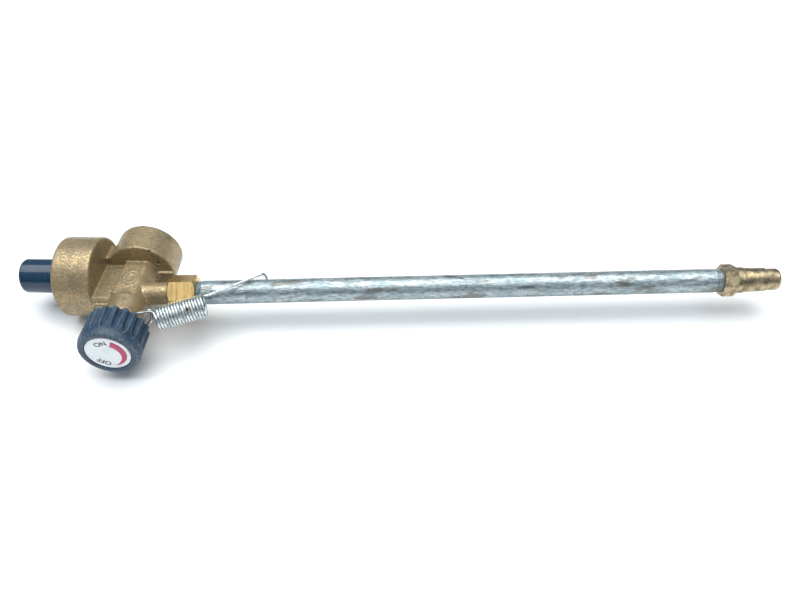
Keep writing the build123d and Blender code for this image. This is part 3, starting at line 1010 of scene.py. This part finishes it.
@dataclass
class LabelPrint:
    """The print on the knob's label: a tapering crimson arc and the two end positions."""

    face: float = CROSS_Y - 43.955 * MM      # just proud of the label
    ink: float = 0.015 * MM
    outer: float = 7.45 * MM
    thick: float = 3.2 * MM
    thin: float = 0.2 * MM
    start: float = radians(66)
    end: float = radians(-80)
    steps: int = 64               # along the arc
    rows: int = 4                 # across it
    height: float = 2.4 * MM                 # of the capitals
    capital_share: float = 0.73              # height of the font's capitals in its size
    embolden: float = 0.08 * MM
    words: dict[str, tuple[float, float]] = field(
        default_factory=lambda: {"ON": (radians(105), 5.5 * MM), "OFF": (radians(240), 5.95 * MM)}
    )

    def on_face(self) -> Matrix:
        """Turn drawings made in the XY plane to face out of the knob, and move them onto the label."""
        return Matrix.Translation((0.0, self.face, 0.0)) @ Matrix.Rotation(pi / 2, 4, "X")

    def arc(self) -> bpy.types.Object:
        """Bend a flat strip into the tapering arc.

        Returns:
            The arc, riding on the knob.
        """
        work = bmesh.new()
        bmesh.ops.create_grid(work, x_segments=self.steps, y_segments=self.rows, size=0.5)
        for vert in work.verts:
            share = vert.co.x + 0.5
            angle = self.start + (self.end - self.start) * share
            width = self.thin + (self.thick - self.thin) * (1 - share ** 2)
            reach = self.outer - width * (0.5 - vert.co.y)
            vert.co = (reach * cos(angle), reach * sin(angle), 0.0)
        grown = bmesh.ops.extrude_face_region(work, geom=work.faces[:])["geom"]
        top = [item for item in grown if isinstance(item, bmesh.types.BMVert)]
        bmesh.ops.translate(work, verts=top, vec=(0.0, 0.0, self.ink))
        bmesh.ops.transform(work, matrix=self.on_face(), verts=work.verts)
        bmesh.ops.recalc_face_normals(work, faces=work.faces)
        mesh = meshed(work, "label_arc")
        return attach(piece("label_arc", mesh, CRIMSON_INK), Body.KNOB.value)

    def word(self, text: str, angle: float, radius: float) -> bpy.types.Object:
        """Set a word in plain capitals, its tops outwards.

        Args:
            text: The word.
            angle: Where it stands round the label, from +X.
            radius: How far from the label's centre.

        Returns:
            The word, riding on the knob.
        """
        drawing = bpy.data.curves.new(f"label_{text.lower()}", "FONT")
        drawing.body = text
        drawing.size = self.height / self.capital_share
        drawing.align_x = "CENTER"
        drawing.align_y = "CENTER"
        drawing.extrude = self.ink / 2
        drawing.offset = self.embolden
        mesh = baked(placed(drawing.name, drawing))
        centre = Vector((radius * cos(angle), radius * sin(angle), self.ink / 2))
        turn = Matrix.Rotation(angle - pi / 2, 4, "Z")
        mesh.transform(self.on_face() @ Matrix.Translation(centre) @ turn)
        name = f"label_{text.lower()}"
        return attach(piece(name, mesh, BLACK_INK), Body.KNOB.value)

    def build(self) -> None:
        """Print the arc and both words."""
        self.arc()
        for text, (angle, radius) in self.words.items():
            self.word(text, angle, radius)


# ---- tie spring ---------------------------------------------------------------------------------
@dataclass
class TieSpring:
    """The tie spring's wire: a loop round the gland's neck, close turns and a hook over the tube."""

    wire: float = 0.58 * MM
    coil_radius: float = 4.48 * MM
    turns: int = 17
    low: Vector = field(default_factory=lambda: Vector((15.4, -45.9, 2.8)) * MM)
    high: Vector = field(default_factory=lambda: Vector((34.8, -37.6, 3.1)) * MM)
    rim: Vector = field(default_factory=lambda: Vector((0.0, 0.08, 0.997)))
    eye: Vector = field(default_factory=lambda: Vector((0.0, -46.1, 0.0)) * MM)
    eye_radius: float = 4.3 * MM
    tail: tuple[tuple[float, float, float], ...] = (     # free end, laid across the coil's end; mm
        (10.0, -45.0, 3.6),
        (13.6, -42.6, 6.4),
        (13.6, -46.1, 1.2),
    )
    hook_top: Vector = field(default_factory=lambda: Vector((56.6, -21.2, 6.3)) * MM)
    hook_tip: Vector = field(default_factory=lambda: Vector((56.9, -18.5, -3.2)) * MM)
    bend: float = 2.0 * MM
    step: float = 0.5 * MM        # between points of the wire's straight runs
    eye_steps: int = 36           # round the eye
    turn_steps: int = 48          # a turn of the coil

    def line(self) -> list[Vector]:
        """Centre line of the wire from its free end, round the eye and the coil, to the hook's tip.

        Returns:
            Closely spaced points, with the corners rounded.
        """
        axis = (self.high - self.low).normalized()
        across = (self.rim - axis * self.rim.dot(axis)).normalized()
        side = axis.cross(across)
        first = self.low + axis * self.wire
        length = (self.high - self.low).length - 2 * self.wire
        coil_start = first + across * self.coil_radius
        leave = self.tangent(coil_start, 1)
        free_end = [Vector(place) * MM for place in self.tail]
        arrive = self.tangent(free_end[-1], -1) + tau
        points = [free_end[0]]
        corners = []
        for place in free_end[1:]:
            points += self.straight(points[-1], place)
            corners.append(len(points) - 1)
        points += self.straight(points[-1], self.on_eye(arrive))
        for index in range(1, self.eye_steps + 1):
            points.append(self.on_eye(arrive + (leave - arrive) * index / self.eye_steps))
        points += self.straight(points[-1], coil_start)
        corners.append(len(points))
        coil_steps = self.turns * self.turn_steps
        for index in range(1, coil_steps + 1):
            angle = tau * index / self.turn_steps
            around = across * cos(angle) + side * sin(angle)
            along = axis * (length * index / coil_steps)
            points.append(first + along + around * self.coil_radius)
        corners.append(len(points))
        points += self.straight(points[-1], self.hook_top)
        corners.append(len(points))
        points += self.straight(points[-1], self.hook_tip)
        self.round_corners(points, corners)
        return points

    def on_eye(self, angle: float) -> Vector:
        """Point of the eye's ring at an angle from +X towards +Z."""
        return self.eye + Vector((cos(angle), 0.0, sin(angle))) * self.eye_radius

    def tangent(self, point: Vector, side: int) -> float:
        """Angle at which a straight run from a point meets the eye's ring.

        Args:
            point: Where the run starts or ends.
            side: 1 for the upper side of the ring, -1 for the lower.

        Returns:
            The meeting point's angle round the ring.
        """
        reach = sqrt(point.x ** 2 + point.z ** 2)
        return atan2(point.z, point.x) + side * acos(self.eye_radius / reach)

    def straight(self, start: Vector, end: Vector) -> list[Vector]:
        """Points of a straight run, without its start.

        Args:
            start: Where the run begins.
            end: Where it ends.

        Returns:
            Evenly spaced points up to the end.
        """
        count = max(2, round((end - start).length / self.step))
        return [start.lerp(end, index / count) for index in range(1, count + 1)]

    def round_corners(self, points: list[Vector], corners: list[int]) -> None:
        """Relax the line near its corners, in place.

        Args:
            points: The line.
            corners: Index of each corner.
        """
        spread = round(self.bend / self.step) + 1
        for corner in corners:
            low = max(1, corner - spread)
            high = min(len(points) - 1, corner + spread)
            for _ in range(3 * spread):
                for index in range(low, high):
                    points[index] = (points[index - 1] + points[index] * 2 + points[index + 1]) / 4

    def build(self) -> bpy.types.Object:
        """Sweep the wire's section along its line.

        Returns:
            The wire, in place of the spring's eye, coil and hook nodes.
        """
        drawing = bpy.data.curves.new("tie_spring_wire", "CURVE")
        drawing.dimensions = "3D"
        drawing.bevel_depth = self.wire
        drawing.bevel_resolution = 3
        drawing.use_fill_caps = True
        line = self.line()
        spline = drawing.splines.new("POLY")
        spline.points.add(len(line) - 1)
        for point, place in zip(spline.points, line):
            point.co = (*place, 1.0)
        mesh = baked(placed(drawing.name, drawing))
        wire = piece("tie_spring_wire", mesh, FINISHES[Slot.SPRING_WIRE])
        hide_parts("spring_eye", "spring_coil", "spring_hook")
        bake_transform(wire)
        return wire


# ---- carried-over pieces ------------------------------------------------------------------------
def dress_nodes() -> None:
    """Give every node of the frame its finish."""
    for entry in frame["record"]["subparts"]:
        node = frame["nodes"][entry["node"]]
        material = FINISHES[Slot(entry["material_slot"])].material()
        for holder in node.material_slots:
            holder.material = material
        LOG.info("%s wears %s", entry["node"], material.name)


# ---- studio -------------------------------------------------------------------------------------
@dataclass
class Studio:
    """Pale floor, one wide soft light overhead, a dim surround and the camera."""

    floor_half: float = 2.5
    floor_x: float = 0.12         # under the middle of the torch
    floor_gap: float = 0.02 * MM
    light_at: Vector = field(default_factory=lambda: Vector((0.03, 0.06, 1.1)))
    light_size: tuple[float, float] = (1.65, 1.05)
    light_power: float = 19.0
    lens: float = 31.156
    near_clip: float = 0.01
    camera_at: Vector = field(default_factory=lambda: Vector((123.0036, -234.6308, 209.5267)) * MM)
    right: Vector = field(default_factory=lambda: Vector((0.99949143, 0.03033693, -0.0098258)))
    up: Vector = field(default_factory=lambda: Vector((-0.01483456, 0.71509966, 0.69886509)))
    surround: tuple[tuple[float, str], ...] = (
        (0.0, "#48525B"),
        (0.5, "#5F6C77"),
        (0.7, "#9BA9B4"),
        (1.0, "#F4F9FF"),
    )
    surround_strength: float = 0.8

    def floor(self) -> None:
        """Lay the floor under the object's lowest point."""
        work = bmesh.new()
        bmesh.ops.create_grid(work, x_segments=2, y_segments=2, size=self.floor_half)
        bmesh.ops.translate(
            work, verts=work.verts, vec=(self.floor_x, 0.0, CAD_BOX[0].z - self.floor_gap)
        )
        mesh = meshed(work, "studio_floor")
        mesh.materials.append(StudioFloor().material())
        ground = placed("studio_floor", mesh)

    def light(self) -> None:
        """Hang the soft light, and set the surround's glow by height above the horizon."""
        lamp = bpy.data.lights.new("overhead_softbox", "AREA")
        lamp.shape = "RECTANGLE"
        lamp.size, lamp.size_y = self.light_size
        lamp.energy = self.light_power
        holder = placed(lamp.name, lamp)
        holder.matrix_world = Matrix.Translation(self.light_at)
        world = bpy.data.worlds.new("surround")
        bpy.context.scene.world = world
        world.use_nodes = True
        tree = world.node_tree
        tree.nodes.clear()
        toward = add_node(tree, "ShaderNodeTexCoord").outputs["Generated"]
        height = add_node(tree, "ShaderNodeSeparateXYZ", links={"Vector": toward}).outputs["Z"]
        share = add_node(
            tree, "ShaderNodeMapRange", values={"From Min": -1.0, "From Max": 1.0}, links={"Value": height}
        )
        glow = add_node(
            tree, "ShaderNodeValToRGB", links={"Fac": share.outputs["Result"]}, stops=list(self.surround)
        )
        sky = add_node(
            tree,
            "ShaderNodeBackground",
            values={"Strength": self.surround_strength},
            links={"Color": glow.outputs["Color"]},
        )
        add_node(tree, "ShaderNodeOutputWorld", links={"Surface": sky.outputs["Background"]})

    def camera(self) -> None:
        """Set up the camera."""
        data = bpy.data.cameras.new("camera")
        data.lens = self.lens
        data.clip_start = self.near_clip
        holder = placed("camera", data)
        back = self.right.cross(self.up)
        turn = Matrix((self.right, self.up, back)).transposed().to_4x4()
        holder.matrix_world = Matrix.Translation(self.camera_at) @ turn
        bpy.context.scene.camera = holder

    def build(self) -> None:
        """Set the whole studio up."""
        self.floor()
        self.light()
        self.camera()
        bpy.context.scene.view_settings.view_transform = "Standard"


def main() -> None:
    """Build the torch round the frame, piece by piece."""
    logging.basicConfig(level=logging.INFO, format="%(name)s: %(message)s")
    builders: list[tuple[str, Callable[[], object]]] = [
        ("studio", Studio().build),
        ("finishes", dress_nodes),
        ("valve casting", ValveCasting().build),
        ("socket thread", SocketThread().build),
        ("knob", GripKnob().build),
        ("label print", LabelPrint().build),
        ("tie spring", TieSpring().build),
    ]
    for name, build in builders:
        build()
        LOG.info("built %s", name)


if __name__ == "__main__":
    main()
